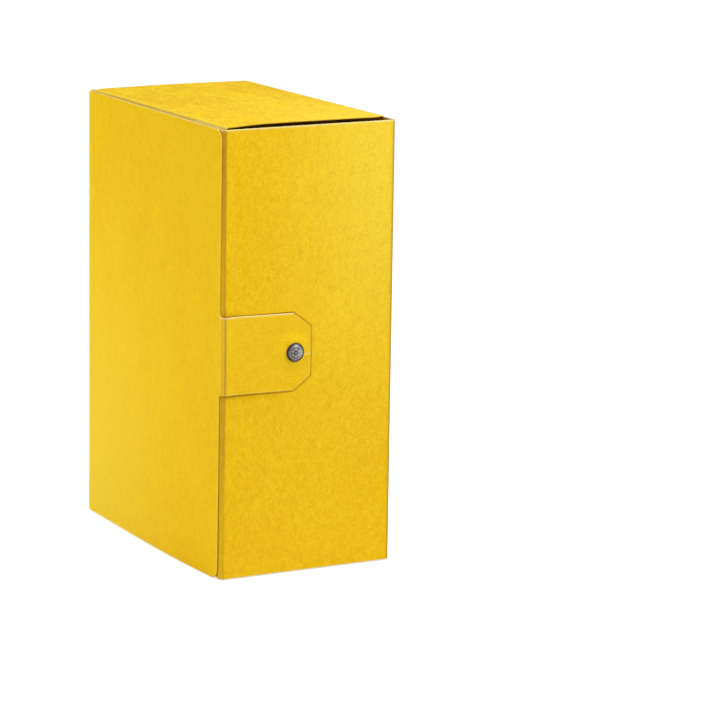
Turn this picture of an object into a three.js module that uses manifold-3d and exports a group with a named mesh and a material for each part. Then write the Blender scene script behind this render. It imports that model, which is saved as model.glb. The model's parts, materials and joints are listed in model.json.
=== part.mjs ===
// Box file: one creased and folded sheet of pressed card, held by three press studs.
// It stands upright on one of its two small side walls, with its lid shut.
// Millimetres, +Z up. X runs across the spine, Y along the depth (the tongue and its
// press stud face -Y, the spine faces +Y) and Z is the height.
// The origin is the middle of the footprint.
import * as THREE from 'three';
import { mergeVertices } from 'three/addons/utils/BufferGeometryUtils.js';
import Module from 'manifold-3d';

const wasm = await Module();
wasm.setup();

// Box
const boxWidth = 150; // outside, across the front wall
const boxDepth = 250; // outside, front wall to spine
const boxHeight = 350; // outside, over the two side walls
const card = 0.8; // thickness of the pressed card
const creaseRadius = 1.8; // outside radius of a plain fold
const softCrease = 1.2; // outside radius of each fold of a double crease
const doubleCrease = 2.5; // leg of the 45 degree strip between two creases
const edgeDrop = 1; // base, spine, front wall and lid end this far inside the side walls
const foldGap = 0.3; // between the panels on either side of a hinge crease

// Side walls and their flaps
const spineGap = 5; // side wall to the outside of the spine
const frontNotch = 14; // side wall to the outside of the front wall
const baseNotch = 4.5; // the notch is this much longer where the side wall leaves the base
const baseNotchRun = 8; // and it narrows over this width
const earReach = 3.5; // the corner of the side wall reaches this far into the notch
const earRun = 25; // over this width, next to the side flap
const sideFlapWidth = 72;
const sideFlapCorner = 7;

// Long flap, folded in from the front wall
const longFlapWidth = 55; // front wall to the free edge
const longFlapTaper = 12; // how far its ends lean in at the free edge
const longFlapCorner = 5;
const flapDip = 20; // it bows down to its press studs over this distance
const flapBow = 60; // with this radius
const flapStudEdge = 14; // press stud to the free edge of the long flap
const flapStudEnd = 45; // press stud to the end of the box

// Lid and tongue
const lidShort = 1; // the free edge of the lid ends this far behind the front wall
const lidCorner = 8;
const tongueWidth = 60.5;
const tongueLength = 76.6; // front corner of the box to the tip
const tongueChamferLength = 15;
const tongueChamferWidth = 11;
const tongueCorner = 3; // softening of the corners of the tongue
const rootFillet = 3;
const tongueStudEdge = 14.7; // press stud to the tip
const tongueHeight = boxHeight / 2;

// Press studs
const capRadius = 7.5;
const capHeight = 2;
const capRim = 0.6;
const shankRadius = 2.1;
const flareRadius = 3;
const flareHeight = 0.35;
const holeClearance = 0.2;
const seat = 0.1; // metal to card, and metal to metal
const slack = 0.3; // what slides or snaps
const socketRadius = 6.3;
const socketHeight = 2.7;
const socketWeb = 0.5;
const socketCavity = 4.5;
const socketLip = 0.6;
const wireRadius = 0.3;
const wireOpening = Math.PI / 5; // the gap in the spring ring
const studHeadRadius = 3.2;
const studNeckRadius = 2.7;
const studFlangeRadius = 6;
const studFlange = 0.5;
const eyeletFlangeRadius = 5.3;
const eyeletFlange = 0.5;
const roundSegments = 24;

// Worked out from the sizes above
const cardGap = 2 * seat + socketHeight + slack + studFlange; // between two studded cards
const stackHeight = cardGap + card + capHeight + seat; // what the inner studs lift the lid by
const xBase = boxWidth / 2; // outside of the base
const yFront = -boxDepth / 2; // outside of the front wall
const ySpine = boxDepth / 2; // outside of the spine
const yFlapStud = yFront + longFlapWidth - flapStudEdge;
const lidSlope = stackHeight / (ySpine - yFlapStud); // the lid leans on the inner studs
const lidX = (y) => -boxWidth / 2 + (y - yFront) * lidSlope; // outside of the lid
const xHinge = lidX(ySpine);
const xSideEdge = xHinge + card + foldGap; // outside of the side flaps
const xLongFlap = xSideEdge - cardGap - card; // outside of the long flap
const xFrontCrease = -boxWidth / 2 + foldGap + card + doubleCrease; // front wall ends here
const yTongue = yFront - cardGap - card; // outside of the tongue
const yTongueCrease = yTongue + doubleCrease; // hinge crease of the tongue
const xTongueCrease = lidX(yTongueCrease);
const xTip = -boxWidth / 2 + tongueLength;
const lowEdge = edgeDrop;
const highEdge = boxHeight - edgeDrop;
const holeRadius = shankRadius + holeClearance;
const studStand = cardGap + card + capHeight; // the tongue and its cap stand this far off the front

const ex = new THREE.Vector3(1, 0, 0);
const ey = new THREE.Vector3(0, 1, 0);
const ez = new THREE.Vector3(0, 0, 1);
const lidAlong = new THREE.Vector3(-lidSlope, -1, 0).normalize(); // hinge to free edge
const lidOut = new THREE.Vector3(-1, lidSlope, 0).normalize(); // away from the box

// Solids

function solidOf(geometry) {
  const bare = geometry.clone();
  bare.deleteAttribute('normal');
  bare.deleteAttribute('uv');
  const merged = mergeVertices(bare, 1e-5);
  return new wasm.Manifold(
    new wasm.Mesh({
      numProp: 3,
      vertProperties: new Float32Array(merged.attributes.position.array),
      triVerts: new Uint32Array(merged.index.array),
    }),
  );
}

function geometryOf(solid) {
  const mesh = solid.getMesh();
  const geometry = new THREE.BufferGeometry();
  geometry.setAttribute('position', new THREE.BufferAttribute(mesh.vertProperties, 3));
  geometry.setIndex(new THREE.BufferAttribute(mesh.triVerts, 1));
  const flat = geometry.toNonIndexed();
  flat.computeVertexNormals();
  return flat;
}

// A shape extruded along the third axis of a basis, starting at an origin.
function prism(points, depth, [a, b, c], origin) {
  const geometry = new THREE.ExtrudeGeometry(new THREE.Shape(points), {
    depth,
    bevelEnabled: false,
  });
  geometry.applyMatrix4(new THREE.Matrix4().makeBasis(a, b, c).setPosition(origin));
  return solidOf(geometry);
}

// Corners are [x, y, radius]; a radius of 0 stays sharp.
function arcAt(before, corner, after, radius) {
  const p = new THREE.Vector2(corner[0], corner[1]);
  const u = new THREE.Vector2(before[0], before[1]).sub(p).normalize();
  const v = new THREE.Vector2(after[0], after[1]).sub(p).normalize();
  const half = Math.acos(THREE.MathUtils.clamp(u.dot(v), -1, 1)) / 2;
  if (radius <= 0 || Math.PI / 2 - half < 1e-6) return [p];
  const toTangent = radius / Math.tan(half);
  const centre = p.clone().addScaledVector(u.clone().add(v).normalize(), radius / Math.sin(half));
  const start = p.clone().addScaledVector(u, toTangent).sub(centre);
  const sweep = Math.sign(u.cross(v)) * -(Math.PI - 2 * half);
  const steps = Math.max(2, Math.ceil(Math.abs(sweep) / (Math.PI / 8)));
  const arc = [];
  for (let i = 0; i <= steps; i++) {
    const turned = start.clone().rotateAround(new THREE.Vector2(), (sweep * i) / steps);
    arc.push(turned.add(centre));
  }
  return arc;
}

function closedOutline(corners) {
  const count = corners.length;
  return corners.flatMap((corner, i) =>
    arcAt(corners[(i + count - 1) % count], corner, corners[(i + 1) % count], corner[2] ?? 0),
  );
}

function openPath(corners) {
  return corners.flatMap((corner, i) => {
    const isEnd = i === 0 || i === corners.length - 1;
    if (isEnd) return [new THREE.Vector2(corner[0], corner[1])];
    return arcAt(corners[i - 1], corner, corners[i + 1], corner[2] ?? 0);
  });
}

// The section of a folded strip of card. Its outside runs along the corners, and the card
// lies on the right-hand side (side = 1) or the left-hand side (side = -1) of that line.
function foldedStrip(corners, side) {
  const normals = corners.slice(1).map((corner, i) => {
    const along = new THREE.Vector2(corner[0] - corners[i][0], corner[1] - corners[i][1]);
    along.normalize();
    return new THREE.Vector2(along.y, -along.x).multiplyScalar(side);
  });
  const inner = corners.map((corner, i) => {
    const n1 = normals[Math.max(i - 1, 0)];
    const n2 = normals[Math.min(i, normals.length - 1)];
    const shift = n1.clone().add(n2).multiplyScalar(card / (1 + n1.dot(n2)));
    const turnsIn = n1.cross(n2) * side < 0;
    const radius = corner[2] ? Math.max(corner[2] + (turnsIn ? -card : card), 0) : 0;
    return [corner[0] + shift.x, corner[1] + shift.y, radius];
  });
  return [...openPath(corners), ...openPath(inner).reverse()];
}

// Card

const cardMaterial = new THREE.MeshStandardMaterial({ color: 0xecc22c, roughness: 0.62, metalness: 0 });
cardMaterial.name = 'yellow_card';

function pin(radius, length, direction, centre) {
  const geometry = new THREE.CylinderGeometry(radius, radius, length, roundSegments);
  geometry.applyQuaternion(new THREE.Quaternion().setFromUnitVectors(ey, direction));
  geometry.translate(centre.x, centre.y, centre.z);
  return solidOf(geometry);
}

const tongueStudAt = new THREE.Vector3(xTip - tongueStudEdge, yTongue, tongueHeight);
const flapStudHeights = { upper: boxHeight - flapStudEnd, lower: flapStudEnd };

// Base, spine, front wall and long flap: one strip folded round the box.
function wrapSolid() {
  const section = foldedStrip(
    [
      [xSideEdge, ySpine],
      [xBase, ySpine, creaseRadius],
      [xBase, yFront, creaseRadius],
      [xFrontCrease, yFront, softCrease],
      [xFrontCrease - doubleCrease, yFront + doubleCrease, softCrease],
      [xLongFlap, yFront + flapDip, flapBow],
      [xLongFlap, yFront + longFlapWidth],
    ],
    1,
  );
  const strip = prism(section, highEdge - lowEdge, [ex, ey, ez], new THREE.Vector3(0, 0, lowEdge));
  return strip.subtract(longFlapEnds(1)).subtract(longFlapEnds(-1));
}

// What is cut off one end of the long flap: end is 1 at the top and -1 at the bottom.
function longFlapEnds(end) {
  const yFold = yFront + doubleCrease;
  const yFree = yFront + longFlapWidth;
  const beyond = boxHeight; // clear of the card
  const atFree = boxHeight / 2 + end * (highEdge - boxHeight / 2 - longFlapTaper);
  const atFold = boxHeight / 2 + end * (highEdge - boxHeight / 2);
  const mid = boxHeight / 2;
  const keep = closedOutline([
    [yFold, mid],
    [yFold, atFold],
    [yFree, atFree, longFlapCorner],
    [yFree, mid],
  ]);
  const all = closedOutline([
    [yFold, mid],
    [yFold, mid + end * beyond],
    [yFree + longFlapWidth, mid + end * beyond],
    [yFree + longFlapWidth, mid],
  ]);
  const depth = -xSideEdge + boxWidth / 2;
  const from = new THREE.Vector3(-boxWidth / 2 - card, 0, 0);
  return prism(all, depth, [ey, ez, ex], from).subtract(prism(keep, depth, [ey, ez, ex], from));
}

// One side wall with its flap; end is 1 at the top and -1 at the bottom.
function sideSolid(end) {
  const outer = boxHeight / 2 + (end * boxHeight) / 2;
  const flapEnd = outer - end * sideFlapWidth;
  const section = foldedStrip(
    [
      [xBase, outer - end * 2 * creaseRadius],
      [xBase, outer, creaseRadius],
      [xSideEdge, outer, creaseRadius],
      [xSideEdge, flapEnd],
    ],
    -end,
  );
  const strip = prism(section, boxDepth, [ex, ez, ey.clone().negate()], new THREE.Vector3(0, ySpine, 0));
  const yEnd = ySpine - spineGap;
  const yNotch = yFront + frontNotch;
  const wall = closedOutline([
    [xBase + card, yEnd],
    [xSideEdge - card, yEnd],
    [xSideEdge - card, yNotch - earReach],
    [xSideEdge + creaseRadius, yNotch - earReach],
    [xSideEdge + creaseRadius + earRun, yNotch, 2 * earReach],
    [xBase - baseNotchRun, yNotch, baseNotch],
    [xBase, yNotch + baseNotch],
    [xBase + card, yNotch + baseNotch],
  ]);
  const kept = strip.intersect(prism(wall, boxHeight, [ex, ey, ez], new THREE.Vector3(0, 0, 0)));
  return kept.intersect(sideFlapOutline(outer, flapEnd, yNotch - earReach, yEnd));
}

// Round free corners of the side flap, seen along X.
function sideFlapOutline(outer, flapEnd, yNear, yFar) {
  const beyond = outer + (outer - flapEnd);
  const outline = closedOutline([
    [yNear, flapEnd, sideFlapCorner],
    [yFar, flapEnd, sideFlapCorner],
    [yFar, beyond],
    [yNear, beyond],
  ]);
  const from = new THREE.Vector3(-boxWidth, 0, 0);
  return prism(outline, 2 * boxWidth, [ey, ez, ex], from);
}

function traySolid() {
  let tray = wrapSolid().add(sideSolid(1)).add(sideSolid(-1));
  for (const height of Object.values(flapStudHeights)) {
    const centre = new THREE.Vector3(xSideEdge, yFlapStud, height);
    tray = tray.subtract(pin(holeRadius, boxWidth / 4, ex, centre));
  }
  const frontHole = new THREE.Vector3(tongueStudAt.x, yFront, tongueHeight);
  return tray.subtract(pin(holeRadius, 4 * card, ey, frontHole));
}

// The lid panel lies along lidAlong; its outline is (distance from the hinge, height).
function lidSolid() {
  const along = (y) => (ySpine - y) / -lidAlong.y;
  const free = along(yFront + lidShort);
  const root = along(yTongueCrease + foldGap);
  const low = tongueHeight - tongueWidth / 2;
  const high = tongueHeight + tongueWidth / 2;
  const outline = closedOutline([
    [0, lowEdge],
    [free, lowEdge, lidCorner],
    [free, low, rootFillet],
    [root, low],
    [root, high],
    [free, high, rootFillet],
    [free, highEdge, lidCorner],
    [0, highEdge],
  ]);
  const inside = new THREE.Vector3(xHinge, ySpine, 0).addScaledVector(lidOut, -card);
  return prism(outline, card, [lidAlong, ez, lidOut], inside);
}

// The tongue: the strip between its two creases, then the panel over the front wall.
function tongueSolid() {
  const start = card * Math.tan(Math.PI / 8) + foldGap / 2; // clear of the lid inside the fold
  const section = foldedStrip(
    [
      [xTongueCrease + start * Math.SQRT1_2, yTongueCrease - start * Math.SQRT1_2],
      [xTongueCrease + doubleCrease, yTongue, softCrease],
      [xTip, yTongue],
    ],
    -1,
  );
  const low = tongueHeight - tongueWidth / 2;
  const high = tongueHeight + tongueWidth / 2;
  const strip = prism(section, tongueWidth, [ex, ey, ez], new THREE.Vector3(0, 0, low));
  const outline = closedOutline([
    [xTongueCrease - card, low],
    [xTip - tongueChamferLength, low, tongueCorner],
    [xTip, low + tongueChamferWidth, tongueCorner],
    [xTip, high - tongueChamferWidth, tongueCorner],
    [xTip - tongueChamferLength, high, tongueCorner],
    [xTongueCrease - card, high],
  ]);
  const from = new THREE.Vector3(0, yTongue + 2 * doubleCrease, 0);
  const cutter = prism(outline, 4 * doubleCrease, [ex, ez, ey.clone().negate()], from);
  return strip.intersect(cutter).subtract(pin(holeRadius, 4 * card, ey, tongueStudAt));
}

// Press stud. Each piece is turned round +Y, with y = 0 on the outside of the outer card.

const steel = new THREE.MeshStandardMaterial({ color: 0x8c8984, roughness: 0.3, metalness: 1 });
steel.name = 'nickel_steel';

const outerInside = -card; // inside of the outer card
const innerOutside = -card - cardGap; // outside of the inner card
const socketTop = outerInside - seat;
const webBottom = socketTop - socketWeb;
const socketMouth = socketTop - socketHeight;
const lipTop = socketMouth + socketLip;
const flareTop = webBottom - seat;
const flareBottom = flareTop - flareHeight;
const headTop = flareBottom - slack / 2;
const flangeTop = innerOutside + seat + studFlange;
const wireCentre = studHeadRadius + slack / 2 + wireRadius;

function turned(points) {
  const profile = points.map(([r, y]) => new THREE.Vector2(r, y));
  const area = profile.reduce((sum, p, i) => sum + p.cross(profile[(i + 1) % profile.length]), 0);
  if (area < 0) profile.reverse(); // the faces point out
  const onAxis = profile[0].x === 0;
  if (!onAxis) profile.push(profile[0].clone());
  const geometry = new THREE.LatheGeometry(profile, roundSegments);
  return geometryOf(solidOf(geometry));
}

// Outer cap: a low dome with a rolled rim, on a shank that is flared inside the socket.
function capGeometry() {
  const dome = [];
  const steps = 6;
  for (let i = 0; i <= steps; i++) {
    const angle = (Math.PI / 2) * (i / steps);
    dome.push([capRadius * Math.sin(angle), capRim + (capHeight - capRim) * Math.cos(angle)]);
  }
  dome[0][0] = 0;
  return turned([
    ...dome,
    [capRadius - seat, seat],
    [shankRadius, seat],
    [shankRadius, flareTop],
    [flareRadius, flareTop],
    [flareRadius - seat, flareBottom],
    [0, flareBottom],
  ]);
}

function socketGeometry() {
  const mouthRadius = studHeadRadius + slack;
  return turned([
    [holeRadius, socketTop],
    [socketRadius - seat, socketTop],
    [socketRadius, socketTop - seat],
    [socketRadius, socketMouth + slack],
    [socketRadius - slack, socketMouth],
    [mouthRadius, socketMouth],
    [mouthRadius, lipTop],
    [socketCavity, lipTop],
    [socketCavity, webBottom],
    [holeRadius, webBottom],
  ]);
}

// The spring is an open ring of wire that lies on the lip of the socket.
function springGeometry() {
  const wire = [];
  const wireSides = 8;
  for (let i = 0; i < wireSides; i++) {
    const angle = (2 * Math.PI * i) / wireSides;
    wire.push(new THREE.Vector2(wireRadius * Math.cos(angle), wireRadius * Math.sin(angle)));
  }
  const route = [];
  for (let i = 0; i <= roundSegments; i++) {
    const angle = wireOpening / 2 + ((2 * Math.PI - wireOpening) * i) / roundSegments;
    const y = lipTop + seat + wireRadius;
    route.push(new THREE.Vector3(wireCentre * Math.cos(angle), y, wireCentre * Math.sin(angle)));
  }
  const geometry = new THREE.ExtrudeGeometry(new THREE.Shape(wire), {
    steps: roundSegments,
    extrudePath: new THREE.CatmullRomCurve3(route),
  });
  return geometryOf(solidOf(geometry));
}

function studGeometry() {
  const boreRadius = shankRadius + seat;
  return turned([
    [0, headTop],
    [studHeadRadius - 2 * slack, headTop],
    [studHeadRadius, headTop - slack],
    [studHeadRadius, headTop - 2 * slack],
    [studNeckRadius, lipTop],
    [studNeckRadius, flangeTop],
    [studFlangeRadius - seat, flangeTop],
    [studFlangeRadius, flangeTop - seat],
    [studFlangeRadius, innerOutside + seat],
    [boreRadius, innerOutside + seat],
    [boreRadius, headTop - studFlange],
    [0, headTop - studFlange],
  ]);
}

function eyeletGeometry() {
  const flangeTopInside = innerOutside - card - seat;
  return turned([
    [0, headTop - studFlange - seat],
    [shankRadius, headTop - studFlange - seat],
    [shankRadius, flangeTopInside],
    [eyeletFlangeRadius, flangeTopInside],
    [eyeletFlangeRadius, flangeTopInside - seat],
    [eyeletFlangeRadius - slack, flangeTopInside - eyeletFlange],
    [0, flangeTopInside - eyeletFlange],
  ]);
}

const pressStudPieces = {
  cap: capGeometry(),
  socket: socketGeometry(),
  spring: springGeometry(),
  stud: studGeometry(),
  eyelet: eyeletGeometry(),
};

function named(geometry, material, name) {
  const mesh = new THREE.Mesh(geometry, material);
  mesh.name = name;
  return mesh;
}

// A press stud whose cap faces along outward, at a point on the outside of the outer card.
function pressStud(name, at, outward) {
  const group = new THREE.Group();
  for (const [piece, geometry] of Object.entries(pressStudPieces)) {
    group.add(named(geometry, steel, `${name}_${piece}`));
  }
  group.position.copy(at);
  group.quaternion.setFromUnitVectors(ey, outward);
  return group;
}

// Assembly

const boxFile = new THREE.Group();
boxFile.add(named(geometryOf(traySolid()), cardMaterial, 'card_tray'));
boxFile.add(named(geometryOf(lidSolid()), cardMaterial, 'card_lid'));
boxFile.add(named(geometryOf(tongueSolid()), cardMaterial, 'card_tongue'));
boxFile.add(pressStud('tongue_snap', tongueStudAt, new THREE.Vector3(0, -1, 0)));
for (const [place, height] of Object.entries(flapStudHeights)) {
  const at = new THREE.Vector3(xLongFlap, yFlapStud, height);
  boxFile.add(pressStud(`${place}_flap_snap`, at, new THREE.Vector3(-1, 0, 0)));
}

// The footprint runs from the leftmost edge of the lid to the base, and from the cap to the spine.
boxFile.position.x = -(xBase + xTongueCrease) / 2;
boxFile.position.y = studStand / 2;

export default boxFile;
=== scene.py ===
import json
import math

import bpy
from mathutils import Matrix, Vector, noise


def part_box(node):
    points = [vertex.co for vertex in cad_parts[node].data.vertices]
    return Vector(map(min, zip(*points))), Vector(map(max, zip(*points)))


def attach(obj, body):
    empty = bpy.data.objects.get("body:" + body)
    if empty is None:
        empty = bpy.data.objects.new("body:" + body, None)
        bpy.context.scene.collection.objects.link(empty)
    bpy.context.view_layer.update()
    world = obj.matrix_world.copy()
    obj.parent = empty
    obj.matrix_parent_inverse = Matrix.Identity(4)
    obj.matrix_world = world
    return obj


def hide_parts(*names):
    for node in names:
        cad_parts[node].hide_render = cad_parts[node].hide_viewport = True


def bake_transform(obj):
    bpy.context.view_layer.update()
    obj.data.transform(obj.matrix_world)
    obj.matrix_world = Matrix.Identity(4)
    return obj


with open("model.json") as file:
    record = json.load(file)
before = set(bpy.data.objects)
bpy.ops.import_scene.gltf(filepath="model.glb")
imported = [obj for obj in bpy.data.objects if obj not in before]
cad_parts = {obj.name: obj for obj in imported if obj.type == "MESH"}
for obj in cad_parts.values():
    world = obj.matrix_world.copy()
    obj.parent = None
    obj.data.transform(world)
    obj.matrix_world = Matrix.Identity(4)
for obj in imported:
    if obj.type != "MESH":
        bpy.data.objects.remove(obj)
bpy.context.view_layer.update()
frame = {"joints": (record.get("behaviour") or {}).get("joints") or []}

# Yellow card box file that stands upright, closed with a tongue and a press stud.
# Meshes are worked out in millimetres in the frame's own axes, and made in metres.

mm = 0.001
scene = bpy.context.scene


def boxOf(node):
    low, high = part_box(node)
    return low / mm, high / mm


def hingeOf(name):
    joint = next(j for j in frame["joints"] if j["name"] == name)
    return Vector(joint["pos_m"]) / mm


trayLow, trayHigh = boxOf("card_tray")
tongueLow, tongueHigh = boxOf("card_tongue")
lidHinge = hingeOf("lid_hinge")
tongueHinge = hingeOf("tongue_hinge")
studSpot = sum(boxOf("tongue_snap_cap"), Vector()) / 2

card = {
    "thickness": 0.8,
    "foldRadius": 1.8,
    "softRadius": 1.2,
    "doubleCrease": 2.5,
    "edgeDrop": 1.0,  # the long panels end this far inside the side walls
    "edgeRound": 0.1,  # how far the middle of a cut edge stands out
    "edgeProfile": ((0.2, 0.8), (0.5, 1.0), (0.8, 0.8)),  # shares of thickness and edgeRound
    "edgeLines": (0.4, 1.2, 2.6),  # the mesh has lines this close to each edge
    "edgeBandWidth": 0.75,  # how far the wear and the painted highlight of a cut edge reach in
    "rubElsewhere": 0.12,  # wear of the cut edges that don't face up
    "highlightFocus": 12,  # how narrowly the painted highlight keeps to the edges that face up
    "step": 6.0,  # largest mesh step on a flat panel
    "turnStep": 12.0,  # and around a fold, in degrees
    "onPanel": 0.5,  # a point this close to a panel's plane is on that panel
    "sharpAngle": 40.0,
}

# The cut corners at the free end of the tongue
chamfer = {"length": 15.0, "width": 11.0}

xBase, ySpine, yFront, height = trayHigh.x, trayHigh.y, trayLow.y, trayHigh.z
lowEdge, highEdge = card["edgeDrop"], height - card["edgeDrop"]
strip = card["doubleCrease"]
alongX = Vector((1, 0, 0))
alongY = Vector((0, 1, 0))
alongZ = Vector((0, 0, 1))


# Curves that are used all over

def clamp(share):
    return max(0.0, min(1.0, share))


def smooth(share):
    share = clamp(share)
    return share * share * (3 - 2 * share)


def ramp(value, start, run):
    # Rises smoothly from 0 at start to 1 at start + run.
    return smooth((value - start) / run)


def bell(distance, width):
    return math.exp(-((distance / width) ** 2))


def between(value, low, high):
    # 0 at the two ends of the range and 1 in its middle
    share = clamp((value - low) / (high - low))
    return 4 * share * (1 - share)


def roundInset(distance, radius):
    # How far a rounded corner draws the edge in, at a distance from the panel's end.
    if distance >= radius:
        return 0.0
    return radius - math.sqrt(max(0.0, radius**2 - (radius - distance) ** 2))


def slowWarp(seed, size, amount):
    # A gentle unevenness of the card, the same on each run.
    offset = Vector((seed * 17.3, seed * 5.1, seed * 9.7))
    return lambda at: amount * noise.noise(at / size + offset)


def creaseAlong(start, end, look):
    return Vector(start), Vector(end), *look


def uprightCrease(x, y, look, low=lowEdge, high=highEdge):
    return creaseAlong((x, y, low), (x, y, high), look)


# Folded card

def turned(way, angle):
    cosine, sine = math.cos(angle), math.sin(angle)
    return Vector((way.x * cosine - way.y * sine, way.x * sine + way.y * cosine))


def foldedPath(corners, cardOnRight=True):
    # Corners are (a, b, radius). Gives points of the outside line as (a, b, normalA, normalB).
    points = [Vector((c[0], c[1])) for c in corners]
    side = 1 if cardOnRight else -1
    samples = []

    def addSample(at, heading):
        samples.append((at.x, at.y, -heading.y * side, heading.x * side))

    def straight(start, end, afterCorner):
        heading = (end - start).normalized()
        length = (end - start).length
        near = [0.0] + [o for o in card["edgeLines"] if o < length / 3]
        first = near[-1]
        count = max(1, math.ceil((length - 2 * first) / card["step"]))
        stops = near + [first + (length - 2 * first) * k / count for k in range(1, count)]
        stops = sorted(set(round(s, 5) for s in stops + [length - o for o in near]))
        for s in stops[1:] if afterCorner else stops:
            addSample(start + heading * s, heading)

    cursor = points[0]
    for k in range(1, len(points)):
        radius = corners[k][2] if len(corners[k]) > 2 else 0
        if not radius:
            straight(cursor, points[k], k > 1)
            cursor = points[k]
            continue
        before = (points[k - 1] - points[k]).normalized()
        after = (points[k + 1] - points[k]).normalized()
        half = math.acos(max(-1, min(1, before.dot(after)))) / 2
        tangent = radius / math.tan(half)
        arcStart = points[k] + before * tangent
        straight(cursor, arcStart, k > 1)
        centre = points[k] + (before + after).normalized() * (radius / math.sin(half))
        heading = -before
        turn = math.pi - 2 * half
        sign = 1 if heading.x * after.y - heading.y * after.x > 0 else -1
        steps = max(3, math.ceil(turn / math.radians(card["turnStep"])))
        for m in range(1, steps + 1):
            angle = sign * turn * m / steps
            addSample(centre + turned(arcStart - centre, angle), turned(heading, angle))
        cursor = points[k] + after * tangent
    return samples


def uprightLine(sample, low, high):
    # One line of a sheet whose folds run up the box, at a point of its folded path.
    a, b, normalA, normalB = sample
    return Vector((a, b, 0)), alongZ, Vector((normalA, normalB, 0)), low, high


def spreadAcross(low, high, count):
    # Positions from low to high that are closer together near both edges.
    room = high - low
    scale = min(1.0, room / (2.5 * card["edgeLines"][-1]))
    near = [0.0] + [o * scale for o in card["edgeLines"]]
    inner = room - 2 * near[-1]
    middle = [near[-1] + inner * k / count for k in range(1, count)]
    return [low + s for s in near + middle + [room - o for o in reversed(near)]]


def lineAmount(point, lines):
    # How much a point is marked by the strongest of some soft lines.
    amount = 0.0
    for start, end, width, strength in lines:
        line = end - start
        share = clamp((point - start).dot(line) / line.length_squared)
        amount = max(amount, strength * bell((point - start - line * share).length, width))
    return amount


def edgeWay(rows, i, j, across):
    # The direction in which a long edge of the sheet faces.
    along = (rows[min(i + 1, len(rows) - 1)][j] - rows[max(i - 1, 0)][j]).normalized()
    return (across - along * across.dot(along)).normalized()


def endWay(row, before):
    # The direction in which the first or last line of the sheet faces.
    along = (row[-1] - row[0]).normalized()
    away = row[0] - before[0]
    return (away - along * away.dot(along)).normalized()


def meshPiece(name, verts, faces, masks, materials):
    mesh = bpy.data.meshes.new(name)
    mesh.from_pydata(verts, [], faces)
    mesh.validate()
    mesh.polygons.foreach_set("use_smooth", [True] * len(mesh.polygons))
    mesh.set_sharp_from_angle(angle=math.radians(card["sharpAngle"]))
    mesh.update()
    for maskName, values in masks.items():
        mask = mesh.attributes.new(maskName, "FLOAT", "POINT")
        mask.data.foreach_set("value", values)
    for material in materials:
        mesh.materials.append(material)
    piece = bpy.data.objects.new(name, mesh)
    scene.collection.objects.link(piece)
    return piece


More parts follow.
